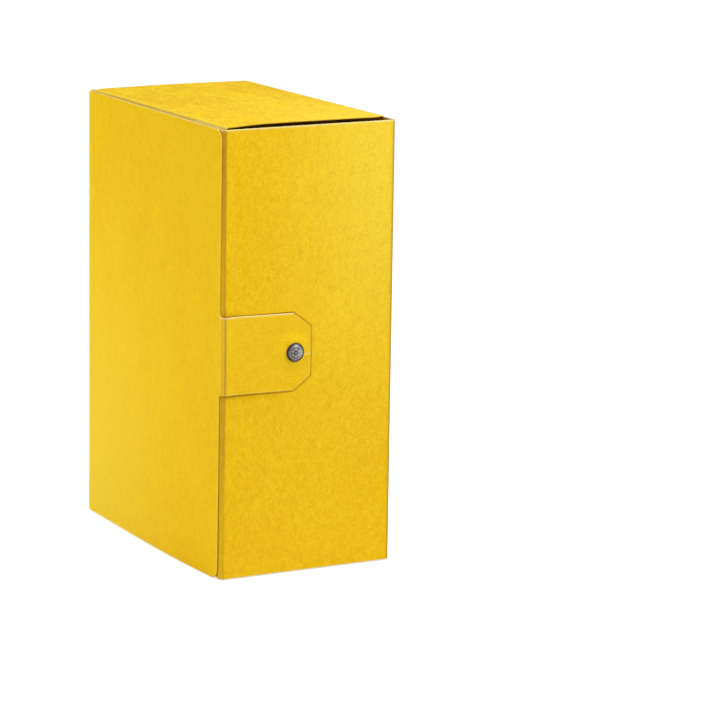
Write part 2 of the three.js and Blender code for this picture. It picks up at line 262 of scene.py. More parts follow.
def cardSheet(
    name, lines, count, material,
    creases=(), highlightLines=(), paintedShade=None, paintedLight=None, warp=None, joined=(False, False),
):
    # Each line of the sheet's outside is (origin, across, normal, low, high).
    # joined tells whether the first and last line run on into another piece.
    bulge = card["edgeRound"]
    outer, inner, reach = [], [], []
    for origin, across, normal, low, high in lines:
        spots = spreadAcross(low + bulge, high - bulge, count)
        row = [origin + across * q for q in spots]
        if warp:
            row = [at + warp(at) for at in row]
        outer.append(row)
        inner.append([at - normal * card["thickness"] for at in row])
        reach.append([(q - low, high - q) for q in spots])
    rows, columns = len(outer), len(outer[0])
    middle = columns // 2
    run = [0.0]
    for i in range(1, rows):
        run.append(run[-1] + (outer[i][middle] - outer[i - 1][middle]).length)
    firstWay, lastWay = endWay(outer[0], outer[1]), endWay(outer[-1], outer[-2])
    lowWays = [edgeWay(outer, i, 0, -lines[i][1]) for i in range(rows)]
    highWays = [edgeWay(outer, i, columns - 1, lines[i][1]) for i in range(rows)]
    verts, faces, slots = [], [], []
    masks = {"crease": [], "edge": [], "paintedLight": []}

    def edgeWearAndHighlight(i, j):
        # Cut edges that face up get a painted highlight, as light from above would catch them; the
        # others keep a little wear.
        near = [(reach[i][j][0], lowWays[i]), (reach[i][j][1], highWays[i])]
        if not joined[0]:
            near.append((run[i], firstWay))
        if not joined[1]:
            near.append((run[-1] - run[i], lastWay))
        distance, way = min(near, key=lambda side: side[0])
        least = card["rubElsewhere"]
        facing = least + (1 - least) * max(0.0, way.z) ** card["highlightFocus"]
        return bell(distance, card["edgeBandWidth"]) * facing

    def addVertex(at, i, j):
        verts.append(at * mm)
        # Dark lines of dirt and painted shade along the folds, and painted shade where given
        masks["crease"].append(max(lineAmount(at, creases), paintedShade(at) if paintedShade else 0.0))
        # Wear and painted highlight along the cut edges, and the lines of painted highlight
        masks["edge"].append(max(edgeWearAndHighlight(i, j), lineAmount(at, highlightLines)))
        masks["paintedLight"].append(paintedLight(at) if paintedLight else 0.0)
        return len(verts) - 1

    outerId = [[addVertex(outer[i][j], i, j) for j in range(columns)] for i in range(rows)]
    innerId = [[addVertex(inner[i][j], i, j) for j in range(columns)] for i in range(rows)]
    flip = (outer[1][0] - outer[0][0]).cross(outer[0][1] - outer[0][0]).dot(lines[0][2]) < 0

    def addFace(quad, slot):
        faces.append(quad[::-1] if flip else quad)
        slots.append(slot)

    for i in range(rows - 1):
        for j in range(columns - 1):
            addFace([outerId[i][j], outerId[i + 1][j], outerId[i + 1][j + 1], outerId[i][j + 1]], 0)
            addFace([innerId[i][j], innerId[i][j + 1], innerId[i + 1][j + 1], innerId[i + 1][j]], 0)
    border = [(i, 0) for i in range(rows)]
    border += [(rows - 1, j) for j in range(1, columns)]
    border += [(i, columns - 1) for i in range(rows - 2, -1, -1)]
    border += [(0, j) for j in range(columns - 2, 0, -1)]
    rings = []
    for i, j in border:
        out = Vector()
        if j == 0:
            out += (outer[i][0] - outer[i][1]).normalized()
        if j == columns - 1:
            out += (outer[i][-1] - outer[i][-2]).normalized()
        if i == 0 and not joined[0]:
            out += (outer[0][j] - outer[1][j]).normalized()
        if i == rows - 1 and not joined[1]:
            out += (outer[-1][j] - outer[-2][j]).normalized()
        out.normalize()
        ring = [outerId[i][j]]
        for share, stand in card["edgeProfile"]:
            ring.append(addVertex(outer[i][j].lerp(inner[i][j], share) + out * bulge * stand, i, j))
        rings.append(ring + [innerId[i][j]])
    for ring, after in zip(rings, rings[1:] + rings[:1]):
        for m in range(len(ring) - 1):
            addFace([ring[m], ring[m + 1], after[m + 1], after[m]], 1)
    piece = meshPiece(name, verts, faces, masks, [material, cutEdgeMaterial])
    piece.data.polygons.foreach_set("material_index", slots)
    return piece


# Shader helpers

def fill(tree, node, values):
    # Sets inputs by name or number, and links those that come from another node.
    for label, value in values.items():
        if hasattr(value, "links"):
            tree.links.new(value, node.inputs[label])
        else:
            node.inputs[label].default_value = value


def startGroup(name, inputs, outputs):
    group = bpy.data.node_groups.new(name, "ShaderNodeTree")
    for label, value in inputs.items():
        kind = "NodeSocketFloat" if isinstance(value, float) else "NodeSocketVector"
        socket = group.interface.new_socket(name=label, in_out="INPUT", socket_type=kind)
        socket.default_value = value
    for label in outputs:
        group.interface.new_socket(name=label, in_out="OUTPUT", socket_type="NodeSocketFloat")
    return group, group.nodes.new("NodeGroupInput").outputs, group.nodes.new("NodeGroupOutput").inputs


def useGroup(tree, group, values):
    node = tree.nodes.new("ShaderNodeGroup")
    node.node_tree = group
    fill(tree, node, values)
    return node.outputs


def mathNode(tree, operation, a, b=None, clamped=False):
    node = tree.nodes.new("ShaderNodeMath")
    node.operation = operation
    node.use_clamp = clamped
    fill(tree, node, {0: a} if b is None else {0: a, 1: b})
    return node.outputs[0]


def times(tree, a, b):
    return mathNode(tree, "MULTIPLY", a, b)


def mixColour(tree, factor, a, b):
    node = tree.nodes.new("ShaderNodeMix")
    node.data_type = "RGBA"
    fill(tree, node, {0: factor, 6: a, 7: b})
    return node.outputs[2]


def mapRange(tree, value, fromLow, fromHigh, toLow=0.0, toHigh=1.0):
    node = tree.nodes.new("ShaderNodeMapRange")
    fill(tree, node, {0: value, 1: fromLow, 2: fromHigh, 3: toLow, 4: toHigh})
    return node.outputs[0]


def noiseNode(tree, vector, scale, detail, roughness, distortion=0.0):
    node = tree.nodes.new("ShaderNodeTexNoise")
    fill(tree, node, {"Vector": vector, "Scale": scale, "Detail": detail})
    fill(tree, node, {"Roughness": roughness, "Distortion": distortion})
    return node.outputs["Fac"]


def attributeNode(tree, name):
    node = tree.nodes.new("ShaderNodeAttribute")
    node.attribute_name = name
    return node.outputs["Fac"]


def splitPlace(tree, place):
    split = tree.nodes.new("ShaderNodeSeparateXYZ")
    tree.links.new(place, split.inputs[0])
    return split.outputs


def startMaterial(name):
    material = bpy.data.materials.new(name)
    material.use_nodes = True
    tree = material.node_tree
    place = tree.nodes.new("ShaderNodeTexCoord").outputs["Object"]
    return material, tree, tree.nodes["Principled BSDF"], place


def bumpNode(tree, bumpHeight, distance, strength):
    bump = tree.nodes.new("ShaderNodeBump")
    fill(tree, bump, {"Height": bumpHeight, "Distance": distance, "Strength": strength})
    return bump.outputs["Normal"]


# Pressed card: soft clouds, a leathery grain of short wavy marks, and a fine tooth.

grainShares = {
    "patches": 0.6,  # these two make the mottle
    "clouds": 0.4,
    "marks": 0.45,  # these two make the grain
    "tooth": 0.55,
    "relief": 0.5,  # how much of the patches is felt in the height
}


def makeCardGrain():
    inputs = {
        "Vector": (0.0, 0.0, 0.0),
        "Stretch": (1.0, 1.0, 1.0),
        "Cloud Scale": 26.0,
        "Mottle Scale": 190.0,
        "Grain Scale": 430.0,
        "Tooth Scale": 950.0,
    }
    group, source, sink = startGroup("cardGrain", inputs, ["Mottle", "Grain", "Height"])
    stretched = group.nodes.new("ShaderNodeVectorMath")
    stretched.operation = "MULTIPLY"
    fill(group, stretched, {0: source["Vector"], 1: source["Stretch"]})
    place = stretched.outputs[0]
    cloud = noiseNode(group, place, source["Cloud Scale"], detail=2.0, roughness=0.5)
    patch = noiseNode(group, place, source["Mottle Scale"], detail=2.0, roughness=0.5, distortion=0.5)
    mark = noiseNode(group, place, source["Grain Scale"], detail=2.0, roughness=0.6, distortion=1.1)
    tooth = noiseNode(group, place, source["Tooth Scale"], detail=3.0, roughness=0.6, distortion=0.8)
    patches = times(group, patch, grainShares["patches"])
    mottle = mathNode(group, "ADD", patches, times(group, cloud, grainShares["clouds"]))
    marks = times(group, mark, grainShares["marks"])
    grain = mathNode(group, "ADD", marks, times(group, tooth, grainShares["tooth"]))
    relief = mathNode(group, "ADD", grain, times(group, patch, grainShares["relief"]))
    group.links.new(mottle, sink["Mottle"])
    group.links.new(grain, sink["Grain"])
    group.links.new(relief, sink["Height"])
    return group


# The masks painted along creases and cut edges, of dirt, wear, painted shade and painted highlight,
# broken up by noise.
def makeWear():
    inputs = {"Vector": (0.0, 0.0, 0.0), "Mask": 0.0, "Breakup Scale": 220.0, "Breakup": 0.5}
    group, source, sink = startGroup("brokenMask", inputs, ["Wear"])
    speckle = noiseNode(group, source["Vector"], source["Breakup Scale"], detail=4.0, roughness=0.6)
    kept = mathNode(group, "SUBTRACT", 1.0, times(group, source["Breakup"], speckle))
    maskAmount = mathNode(group, "MULTIPLY", source["Mask"], kept, clamped=True)
    group.links.new(maskAmount, sink["Wear"])
    return group


cardGrain = makeCardGrain()
brokenMask = makeWear()

yellow = {
    "light": (0.95, 0.68, 0.020, 1.0),
    "dark": (0.76, 0.43, 0.004, 1.0),
    "mark": (0.60, 0.31, 0.004, 1.0),
    # paler yellow for painted light
    "litPale": (0.95, 0.72, 0.062, 1.0),
    # brown of dirt and painted shade along folds, in the double crease and in the notch
    "crease": (0.52, 0.275, 0.018, 1.0),
    # dark brown of the painted contact shadow around the tongue
    "contactShadow": (0.30, 0.13, 0.010, 1.0),
    # pale cream for the painted highlight on cut edges and folds, and for the nick in the tongue
    "cream": (0.99, 0.89, 0.44, 1.0),
    "dents": 0.34,  # how dark the small dents of the grain are
    "humps": 0.60,  # and how light its humps
    "dirtAndShadeBreakup": 0.35,
    "wearAndHighlightBreakup": 0.3,
    "smoothest": 0.53,
    "roughest": 0.67,
    "grainDepth": 0.00012,
    "grainBump": 0.9,
}

# The same card on each panel, with its own grain, mottle and gloss, and a base colour tuned to how
# brightly the panel is lit: lit and shaded copies of one yellow
panels = {
    "wall": {"grain": 1.27, "mottle": 0.20, "gloss": 0.05, "stretch": (1.0, 1.0, 0.6)},
    "side": {"grain": 1.75, "mottle": 0.68, "gloss": 0.04, "stretch": (0.9, 0.45, 1.0)},
    "lid": {"grain": 0.62, "mottle": 0.22, "gloss": 0.03, "stretch": (1.0, 1.0, 0.7)},
    "tongue": {"grain": 0.95, "mottle": 0.17, "gloss": 0.10, "stretch": (0.7, 1.0, 1.0)},
}
# Painted light: each base colour is tuned to how brightly its panel is lit
panels["wall"]["base"] = (0.870, 0.535, 0.007, 1.0)
panels["side"]["base"] = (0.885, 0.585, 0.010, 1.0)
panels["lid"]["base"] = (0.895, 0.560, 0.004, 1.0)
panels["tongue"]["base"] = (0.875, 0.548, 0.007, 1.0)

# A thin painted contact shadow on the front wall, just around the outline of the closed tongue
contactShadow = {
    "start": -0.3,  # it runs between these distances outside the outline
    "end": 0.7,
    "soft": 0.5,
    "outTip": 0.9,  # it lies this much further out at the free end and the lower cut corner
    "outUpperCut": 0.54,
    "outLow": 0.27,
    "wallDepth": (1.2, 2.2),  # it ends between these depths behind the front wall
    "upperBand": (-5.0, -1.0),  # it is stronger from here on, beside the upper edge
    "tipBand": (-3.0, 1.0),  # but not past the cut corner
    "weak": 0.5,
    "strong": 0.85,
}

# A short nick in the card, from the press stud to the tip of the tongue
nick = {
    "below": 2.0,  # under the middle of the press stud
    "halfWidth": 0.15,
    "softWidth": 0.6,
    "start": 7.0,
    "full": 8.5,
    "strength": 0.4,
}


def tongueContactShadow(tree, place):
    # A painted contact shadow on the wall, just outside the tongue's outline
    x, y, z = splitPlace(tree, place)
    length, width = chamfer["length"], chamfer["width"]
    slant = Vector((width, length)).normalized()
    tip, low, high = tongueHigh.x, tongueLow.z, tongueHigh.z
    cutStart = slant.x * (tip - length)
    edges = [
        (1.0, 0.0, tip + contactShadow["outTip"]),
        (0.0, 1.0, high),
        (0.0, -1.0, -low + contactShadow["outLow"]),
        (slant.x, slant.y, cutStart + slant.y * high + contactShadow["outUpperCut"]),
        (slant.x, -slant.y, cutStart - slant.y * low + contactShadow["outTip"]),
    ]
    outside = None
    for wayX, wayZ, reach in edges:
        across = mathNode(tree, "ADD", times(tree, x, wayX / mm), times(tree, z, wayZ / mm))
        distance = mathNode(tree, "SUBTRACT", across, reach)
        outside = mathNode(tree, "MAXIMUM", outside, distance) if outside else distance

    def fadeOver(value, origin, band, toLow, toHigh):
        return mapRange(tree, value, (origin + band[0]) * mm, (origin + band[1]) * mm, toLow, toHigh)

    start, end, soft = contactShadow["start"], contactShadow["end"], contactShadow["soft"]
    rising = mapRange(tree, outside, start - soft, start)
    falling = mapRange(tree, outside, end, end + soft, 1.0, 0.0)
    onFront = fadeOver(y, trayLow.y, contactShadow["wallDepth"], 1.0, 0.0)
    upper = fadeOver(z, high, contactShadow["upperBand"], 0.0, 1.0)
    onStraight = fadeOver(x, tip - length, contactShadow["tipBand"], 1.0, 0.0)
    level = mapRange(tree, times(tree, upper, onStraight), 0.0, 1.0, contactShadow["weak"], contactShadow["strong"])
    return times(tree, times(tree, times(tree, rising, falling), onFront), level)


def tongueNick(tree, place):
    x, y, z = splitPlace(tree, place)
    off = mathNode(tree, "ABSOLUTE", mathNode(tree, "SUBTRACT", z, (studSpot.z - nick["below"]) * mm))
    line = mapRange(tree, off, nick["halfWidth"] * mm, nick["softWidth"] * mm, nick["strength"], 0.0)
    start, full = (studSpot.x + nick["start"]) * mm, (studSpot.x + nick["full"]) * mm
    return times(tree, line, mapRange(tree, x, start, full))


def maskedColour(tree, place, maskName, breakup, colour, wornTo, scale=220.0):
    values = {"Vector": place, "Mask": attributeNode(tree, maskName)}
    values.update({"Breakup": breakup, "Breakup Scale": scale})
    return mixColour(tree, useGroup(tree, brokenMask, values)["Wear"], colour, wornTo)


def makeCardMaterial(name, panel, mark=None, markColour=None):
    material, tree, shader, place = startMaterial(name)
    grain = useGroup(tree, cardGrain, {"Vector": place, "Stretch": panel["stretch"]})
    cloud = mapRange(tree, grain["Mottle"], 0.38, 0.62)
    patches = mixColour(tree, cloud, yellow["dark"], yellow["light"])
    colour = mixColour(tree, panel["mottle"], panel["base"], patches)
    # Painted light: paler where the mesh is marked
    colour = mixColour(tree, attributeNode(tree, "paintedLight"), colour, yellow["litPale"])
    dents = mapRange(tree, grain["Grain"], 0.52, 0.32, 0.0, yellow["dents"] * panel["grain"])
    colour = mixColour(tree, dents, colour, yellow["mark"])
    humps = mapRange(tree, grain["Grain"], 0.50, 0.70, 0.0, yellow["humps"] * panel["grain"])
    colour = mixColour(tree, humps, colour, yellow["light"])
    # Dirt and painted shade along the folds, in the double crease and in the notch
    colour = maskedColour(tree, place, "crease", yellow["dirtAndShadeBreakup"], colour, yellow["crease"])
    # On the wall, the painted contact shadow around the tongue; on the tongue, a nick
    if mark:
        colour = mixColour(tree, mark(tree, place), colour, markColour)
    # Wear and painted highlight along the cut edges, and painted highlight along some folds
    colour = maskedColour(tree, place, "edge", yellow["wearAndHighlightBreakup"], colour, yellow["cream"])
    rough = mapRange(tree, grain["Mottle"], 0.3, 0.7, yellow["smoothest"], yellow["roughest"])
    normal = bumpNode(tree, grain["Height"], yellow["grainDepth"], yellow["grainBump"])
    fill(tree, shader, {"Base Color": colour, "Roughness": rough, "Normal": normal})
    fill(tree, shader, {"Specular IOR Level": panel["gloss"]})
    return material


# The fibrous cut edge of the card
cutCard = {
    "fuzzScale": 2400.0,
    "fibres": 0.3,
    "wearAndHighlightBreakup": 0.4,
    "roughness": 0.8,
    "gloss": 0.2,
    "fuzzDepth": 0.00012,
    "fuzzBump": 0.6,
}


def makeCutEdgeMaterial():
    material, tree, shader, place = startMaterial("cutCard")
    fuzz = noiseNode(tree, place, cutCard["fuzzScale"], detail=3.0, roughness=0.7)
    fibres = mapRange(tree, fuzz, 0.3, 0.7, 0.0, cutCard["fibres"])
    base = panels["wall"]["base"]
    # Wear and painted highlight on the cut faces of the card
    colour = maskedColour(tree, place, "edge", cutCard["wearAndHighlightBreakup"], base, yellow["cream"])
    colour = mixColour(tree, fibres, colour, yellow["light"])
    # Dirt and painted shade along the folds
    colour = maskedColour(tree, place, "crease", yellow["dirtAndShadeBreakup"], colour, yellow["crease"])
    normal = bumpNode(tree, fuzz, cutCard["fuzzDepth"], cutCard["fuzzBump"])
    fill(tree, shader, {"Base Color": colour, "Roughness": cutCard["roughness"], "Normal": normal})
    fill(tree, shader, {"Specular IOR Level": cutCard["gloss"]})
    return material


wallMaterial = makeCardMaterial("pressedCardWall", panels["wall"], tongueContactShadow, yellow["contactShadow"])
sideMaterial = makeCardMaterial("pressedCardSide", panels["side"])
lidMaterial = makeCardMaterial("pressedCardLid", panels["lid"])
tongueMaterial = makeCardMaterial("pressedCardTongue", panels["tongue"], tongueNick, yellow["cream"])
cutEdgeMaterial = makeCutEdgeMaterial()

nickel = {
    "base": (0.135, 0.125, 0.135, 1.0),
    "bright": (0.72, 0.70, 0.69, 1.0),
    "dark": (0.030, 0.014, 0.010, 1.0),
    "wire": (0.46, 0.45, 0.43, 1.0),
    "roughness": 0.24,
    "wireRoughness": 0.2,
    "smoother": 0.07,  # the scuffs make it this much smoother or rougher
    "rougher": 0.16,
    "cloudScale": 420.0,
    "clouds": 0.35,
    "scuffScale": 1900.0,
    "wearAndHighlightScale": 900.0,
    "wearAndHighlightBreakup": 0.7,
    "scuffDepth": 0.00004,
    "scuffBump": 0.35,
}


def makeNickel(name, base, roughness):
    material, tree, shader, place = startMaterial(name)
    cloud = noiseNode(tree, place, nickel["cloudScale"], detail=4.0, roughness=0.6)
    scuffs = noiseNode(tree, place, nickel["scuffScale"], detail=3.0, roughness=0.7, distortion=1.5)
    clouded = mapRange(tree, cloud, 0.3, 0.7, 0.0, nickel["clouds"])
    colour = mixColour(tree, clouded, base, nickel["dark"])
    # Brighter where the mesh marks it: the rim, the relief, and a painted highlight on one side of each
    # dome
    colour = maskedColour(
        tree, place, "edge", nickel["wearAndHighlightBreakup"], colour, nickel["bright"], nickel["wearAndHighlightScale"]
    )
    # Painted shade in the hollows of the press studs
    colour = mixColour(tree, attributeNode(tree, "crease"), colour, nickel["dark"])
    smoothest, roughest = roughness - nickel["smoother"], roughness + nickel["rougher"]
    rough = mapRange(tree, scuffs, 0.3, 0.75, smoothest, roughest)
    normal = bumpNode(tree, scuffs, nickel["scuffDepth"], nickel["scuffBump"])
    fill(tree, shader, {"Base Color": colour, "Metallic": 1.0, "Roughness": rough, "Normal": normal})
    return material


nickelMaterial = makeNickel("darkNickel", nickel["base"], nickel["roughness"])
wireMaterial = makeNickel("springWire", nickel["wire"], nickel["wireRoughness"])
print("materials made")


# Tray: base, spine, front wall and long flap as one folded strip, then the two side walls.

tray = {
    "frontNotch": 14.0,
    "baseNotch": 4.5,
    "baseNotchRun": 8.0,
    "earReach": 3.5,
    "earRun": 25.0,
    "spineGap": 5.0,
    "spineCut": 4.0,  # the side walls' corner beside the spine and the lid is cut off
    "sideFlapWidth": 72.0,
    "sideFlapCorner": 7.0,
    "sideFlapX": -65.97,  # outside of the side flaps
    "longFlapX": -70.47,  # outside of the long flap
    "longFlapWidth": 55.0,
    "longFlapTaper": 12.0,
    "longFlapStart": 5.0,  # it narrows from this far past its crease
    "longFlapCorner": 5.0,
    "flapDip": 20.0,
    "flapBow": 60.0,
    "frontCreaseX": -71.37,
    "lidFold": 3.0,  # the fold strip at the lid reaches this far from the hinge line
    "wrapColumns": 58,
    "sideColumns": 40,
    # How far the walls have bent out
    "frontCrown": 0.25,
    "spineCrown": 0.2,
    "baseCrown": 0.3,
    "upperCrown": 0.35,
    # The upper side wall has sunk at its corner beside lid and front, over these distances
    "settle": 0.6,
    "settleAcross": 40.0,
    "settleAlong": 210.0,
    # The press stud has drawn the front wall out around it; start and run from its middle
    "dimple": 1.1,
    "dimpleRise": (7.0, 7.0),
    "dimpleFall": (22.0, 40.0),
    "dimpleFold": 25.0,
    # Width and strength of the dark line along each fold, part dirt and part painted shade, and of the
    # painted highlight along the side walls' fold beside the lid
    "creaseSpine": (1.3, 0.6),
    "creaseBase": (1.5, 1.6),
    "creaseFrontTop": (0.85, 1.0),
    "creaseFrontMiddle": (0.9, 1.0),
    "creaseFrontLow": (1.1, 0.5),
    "creaseFlap": (0.8, 0.6),
    "creaseSide": (0.9, 0.35),
    "creaseSideFront": (1.2, 0.9),
    "highlightSide": (1.1, 0.75),
    # Painted shade in the double crease beside the front wall, and in the notch at its end
    "shadeTop": 0.9,
    "shadeTopRun": 25.0,
    "shadeMiddle": 0.2,  # just above the tongue
    "shadeUnder": 0.55,  # just below the tongue
    "shadeFoot": 0.03,
    "shadeFootBand": (20.0, 60.0),
    "shadeNotch": 1.0,
    # Painted light: where the colour is drawn paler; bands are start and run
    "litFront": 0.68,
    "litFrontUp": (0.15, 0.8),  # shares of the height
    "litFrontAcross": (20.0, 120.0),
    "litFold": 0.9,
    "litFoldBand": (2.0, 3.0),
    "litSideLeast": 0.02,
    "litSide": 0.75,
    "litSideAlong": 190.0,
    "litSideAcross": (-10.0, 150.0),
}

sideFlapX = tray["sideFlapX"]
creaseX = tray["frontCreaseX"]


def frontPaintedShade(at):
    # Painted shade: darker in the double crease beside the front wall, and in the notch at its end
    inStrip = at.x < creaseX + 0.5 and at.y < yFront + strip + 0.6
    if inStrip:
        if at.z > studSpot.z:
            share = ramp(at.z, tongueHigh.z, height - tongueHigh.z - tray["shadeTopRun"])
            return tray["shadeMiddle"] + (tray["shadeTop"] - tray["shadeMiddle"]) * share
        share = ramp(at.z, *tray["shadeFootBand"])
        return tray["shadeFoot"] + (tray["shadeUnder"] - tray["shadeFoot"]) * share
    besideNotch = at.x > xBase - 1.2 and yFront + 2.5 < at.y < yFront + tray["frontNotch"] + 4
    return tray["shadeNotch"] if besideNotch and at.z > highEdge - 7 else 0.0


def frontPaintedLight(at):
    # Painted light: paler towards the upper corner beside the base.
    if at.y > yFront + 0.6:
        return 0.0
    upward = ramp(at.z / height, *tray["litFrontUp"])
    return tray["litFront"] * upward * ramp(at.x - creaseX, *tray["litFrontAcross"])


def sidePaintedLight(at):
    # Painted light: paler on the fold beside the lid, and towards the front corner beside the base.
    if at.x < sideFlapX + card["foldRadius"] + 0.6:
        start, run = tray["litFoldBand"]
        return tray["litFold"] * smooth(1 - (min(at.z, height - at.z) - start) / run)
    toFront = smooth(1 - (at.y - yFront) / tray["litSideAlong"])
    toBase = ramp(at.x - sideFlapX, *tray["litSideAcross"])
    return tray["litSideLeast"] + tray["litSide"] * toFront * toBase


def makeWrap():
    corners = [
        (lidHinge.x + tray["lidFold"], ySpine),
        (xBase, ySpine, card["foldRadius"]),
        (xBase, yFront, card["foldRadius"]),
        (creaseX, yFront, card["softRadius"]),
        (creaseX - strip, yFront + strip, card["softRadius"]),
        (tray["longFlapX"], yFront + tray["flapDip"], tray["flapBow"]),
        (tray["longFlapX"], yFront + tray["longFlapWidth"]),
    ]
    yFree = yFront + tray["longFlapWidth"]
    yFold = yFront + strip
    yTaper = yFold + tray["longFlapStart"]
    lines = []
    for sample in foldedPath(corners):
        a, b = sample[:2]
        lean = 0.0
        if a < creaseX - strip / 2 and b > yFold:
            lean = tray["longFlapTaper"] * max(0.0, b - yTaper) / (yFree - yTaper)
            lean += roundInset(yFree - b, tray["longFlapCorner"])
        lines.append(uprightLine(sample, lowEdge + lean, highEdge - lean))
    lower, upper = height * 0.25, height * 0.55
    # The dark lines of dirt and painted shade lie a little beside some of the folds.
    creases = [
        uprightCrease(xBase, ySpine, tray["creaseSpine"]),
        uprightCrease(xBase - 0.7, yFront + 0.4, tray["creaseBase"]),
        uprightCrease(creaseX, yFront, tray["creaseFrontTop"], upper, highEdge),
        uprightCrease(creaseX + 0.2, yFront, tray["creaseFrontMiddle"], lower, upper),
        uprightCrease(creaseX + 0.2, yFront, tray["creaseFrontLow"], lowEdge, lower),
        uprightCrease(creaseX - strip, yFront + strip, tray["creaseFlap"]),
    ]
    bow = slowWarp(seed=1, size=120, amount=0.35)

    def warp(at):
        # Panels bow a little between their folds, and stay put at the folds.
        if abs(at.y - yFront) < card["onPanel"]:
            away = Vector((at.x - studSpot.x, 0, at.z - studSpot.z)).length
            drawn = tray["dimple"] * ramp(away, *tray["dimpleRise"])
            drawn *= 1 - ramp(away, *tray["dimpleFall"])
            drawn *= smooth((at.x - creaseX) / tray["dimpleFold"])
            return alongY * (between(at.x, creaseX, xBase) * (tray["frontCrown"] + bow(at)) - drawn)
        if abs(at.y - ySpine) < card["onPanel"]:
            swell = between(at.x, lidHinge.x + tray["lidFold"], xBase)
            return -alongY * swell * (tray["spineCrown"] + bow(at))
        if abs(at.x - xBase) < card["onPanel"]:
            return -alongX * between(at.y, yFront, ySpine) * (tray["baseCrown"] + bow(at))
        return Vector()

    return cardSheet(
        "tray_wrap", lines, tray["wrapColumns"], wallMaterial, creases,
        paintedShade=frontPaintedShade, paintedLight=frontPaintedLight, warp=warp, joined=(True, False),
    )


def makeSide(end, name):
    outer = height if end > 0 else 0.0
    flapEnd = outer - end * tray["sideFlapWidth"]
    corners = [
        (xBase, outer - end * 2 * card["foldRadius"]),
        (xBase, outer, card["foldRadius"]),
        (sideFlapX, outer, card["foldRadius"]),
        (sideFlapX, flapEnd),
    ]
    yEnd = ySpine - tray["spineGap"]
    yNotch = yFront + tray["frontNotch"]
    yEar = yNotch - tray["earReach"]
    lines = []
    for a, b, na, nb in foldedPath(corners, cardOnRight=end < 0):
        low, high = yNotch, yEnd
        fromBase = xBase - a
        fromLid = a - sideFlapX - card["foldRadius"]
        if fromBase < tray["baseNotchRun"]:
            low = yNotch + tray["baseNotch"] * (1 - fromBase / tray["baseNotchRun"])
        if fromLid < tray["spineCut"]:
            high = yEnd - tray["spineCut"] * (1 - max(0.0, fromLid) / tray["spineCut"])
        if fromLid < tray["earRun"]:
            low = yNotch - tray["earReach"] * smooth(1 - fromLid / tray["earRun"])
        if a < sideFlapX + 1:
            inset = roundInset(abs(b - flapEnd), tray["sideFlapCorner"])
            low, high = low + inset, high - inset
        lines.append((Vector((a, 0, b)), alongY, Vector((na, 0, nb)), low, high))
    baseFold = Vector((xBase, yNotch, outer))
    creases = [
        creaseAlong(baseFold, (xBase, yFront + 60, outer), tray["creaseSideFront"]),
        creaseAlong(baseFold, (xBase, yEnd, outer), tray["creaseSide"]),
    ]
    # A painted highlight along the fold beside the lid
    highlightZ = outer - end * 1.6 * card["foldRadius"]
    highlightLines = [creaseAlong((sideFlapX, yEar, highlightZ), (sideFlapX, yEnd, highlightZ), tray["highlightSide"])]
    bow = slowWarp(seed=4 + end, size=90, amount=0.3)

    def warp(at):
        if end < 0:
            return Vector()
        sunk = tray["settle"] * smooth(1 - (at.x - sideFlapX) / tray["settleAcross"])
        sunk *= smooth(1 - (at.y - yEar) / tray["settleAlong"])
        rise = -sunk * ramp(at.z, outer - 12, 10)
        if abs(at.z - outer) < card["onPanel"]:
            rise += between(at.x, sideFlapX, xBase) * (tray["upperCrown"] + bow(at))
        return alongZ * rise

    return cardSheet(
        name, lines, tray["sideColumns"], sideMaterial, creases, highlightLines, paintedLight=sidePaintedLight, warp=warp
    )


trayPieces = [makeWrap(), makeSide(1, "tray_upper_side"), makeSide(-1, "tray_lower_side")]
for piece in trayPieces:
    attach(piece, "tray")
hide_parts("card_tray")
print("tray made")


# Lid: one flat panel that leans on the inner press studs, with the root of the tongue.

lid = {
    "short": 1.3,  # its free edge ends this far behind the front wall
    "corner": 8.0,
    "rootFillet": 3.0,
    "rootLift": 1.2,  # the tongue sits a little askew, so its root is this much higher
    "rootFold": 2.0,  # the fold strip at the tongue starts this far before the hinge line
    "swell": 0.3,
    "bow": 2.6,  # how much more it bows out near its lower end
    "pull": 2.2,  # and how far that draws its free edge back
    "bowPower": 1.4,  # how low on the lid the bow keeps
    "bowShift": 1.2,  # and how far from the spine it is deepest
    "sag": 0.7,  # the upper end hangs this much lower beside the spine
    "sagBand": (250.0, 100.0),  # start and run, up the lid
    "paintedLight": 0.6,  # painted light, paler towards the spine and the lower end
    "litTop": 0.95,
    "litReach": 0.9,
    "crease": (1.2, 0.3),  # width and strength
    "columns": 44,
}

lidAlong = Vector((tongueHinge.x - lidHinge.x, tongueHinge.y - lidHinge.y, 0)).normalized()
lidOut = Vector((lidAlong.y, -lidAlong.x, 0))
lidStart = Vector((lidHinge.x, lidHinge.y, 0))
rootLow, rootHigh = tongueLow.z + lid["rootLift"], tongueHigh.z + lid["rootLift"]


def lidRun(y):
    return (lidHinge.y - y) / -lidAlong.y


def lidShare(at):
    # 0 at the spine and 1 at the front wall
    return (at - lidStart).dot(lidAlong) / lidRun(yFront)


def lidReach(z):
    free = lidRun(yFront + lid["short"] + lid["pull"] * (1 - z / height))
    root = lidRun(tongueHinge.y) - lid["rootFold"]
    toEnd = min(z - lowEdge, highEdge - z)
    if toEnd < lid["corner"]:
        return free - roundInset(toEnd, lid["corner"])
    if rootLow <= z <= rootHigh:
        return max(root, free)
    toRoot = max(rootLow - z, z - rootHigh)
    return max(free, min(root, free + roundInset(toRoot, lid["rootFillet"])))


